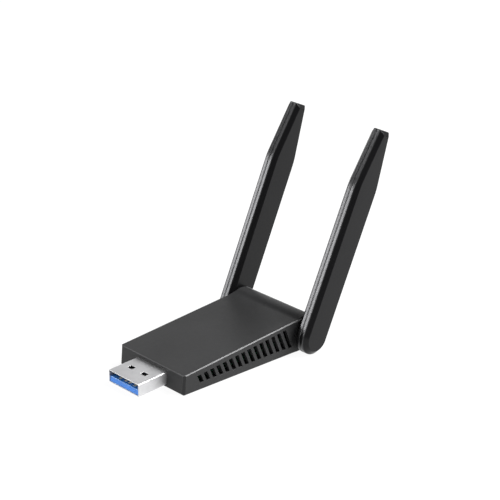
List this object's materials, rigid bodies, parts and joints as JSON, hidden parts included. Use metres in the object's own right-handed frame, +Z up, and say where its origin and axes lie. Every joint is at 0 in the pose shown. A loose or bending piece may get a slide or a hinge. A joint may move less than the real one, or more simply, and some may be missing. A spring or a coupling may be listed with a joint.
{
  "type": "usb wifi adapter",
  "caption": "USB network adapter: wedge-shaped slotted housing with a USB-A plug at the thin end and folding blade antennas on a friction hinge across the thick end.",
  "frame": {"origin": "middle of the USB plug, where it leaves the housing's front face", "axes": "the plug points along -X, the housing and its hinge lie towards +X, +Y is the right-hand side seen from behind, +Z is up with the slotted sides upright"},
  "size_m": [0.1036, 0.0436, 0.0749],
  "materials": {
    "black_plastic": "fine matte moulded grain",
    "antenna_plastic": "fine matte moulded grain, slightly darker than the housing",
    "plug_metal": "bright tin-plated pressed steel",
    "blue_plastic": "smooth glossy moulded blue",
    "dark_plastic": "plain moulded black",
    "contact_gold": "gold-plated spring contacts",
    "circuit_board": "green solder mask",
    "can_metal": "dull tinned sheet",
    "chip_black": "moulded black epoxy",
    "pad_grey": "soft grey silicone",
    "ferrite_grey": "sintered ferrite",
    "ceramic_tan": "fired ceramic with tinned ends",
    "led_lens": "clear pale resin",
    "coax_jacket": "smooth flexible jacket",
    "copper": "etched copper",
    "spring_steel": "bright spring steel"
  },
  "bodies": {
    "housing": {"top_shell": "black_plastic", "bottom_cover": "black_plastic", "usb_shell": "plug_metal", "usb_insulator": "blue_plastic", "usb_spacer": "dark_plastic", "usb_contacts": "contact_gold", "usb3_contacts": "contact_gold", "main_board": "circuit_board", "shield_can": "can_metal", "wifi_chip": "chip_black", "thermal_pad": "pad_grey", "regulator_chip": "chip_black", "power_inductor": "ferrite_grey", "crystal": "can_metal", "capacitors": "ceramic_tan", "status_led": "led_lens", "left_board_coax": "coax_jacket", "right_board_coax": "coax_jacket"},
    "left_antenna": {"left_outer_shell": "antenna_plastic", "left_inner_shell": "antenna_plastic", "left_element_board": "circuit_board", "left_element_foil": "copper", "left_coax": "coax_jacket", "left_washer": "spring_steel", "left_clip": "spring_steel"},
    "right_antenna": {"right_outer_shell": "antenna_plastic", "right_inner_shell": "antenna_plastic", "right_element_board": "circuit_board", "right_element_foil": "copper", "right_coax": "coax_jacket", "right_washer": "spring_steel", "right_clip": "spring_steel"}
  },
  "joints": [
    {"name": "left_hinge", "type": "hinge", "parent": "housing", "child": "left_antenna", "pos_m": [0.0566, -0.0161, -0.00075], "axis": [0, 1, 0], "range_deg": [-116, 64]},
    {"name": "right_hinge", "type": "hinge", "parent": "housing", "child": "right_antenna", "pos_m": [0.0566, 0.0161, -0.00075], "axis": [0, 1, 0], "range_deg": [-115, 65]}
  ]
}
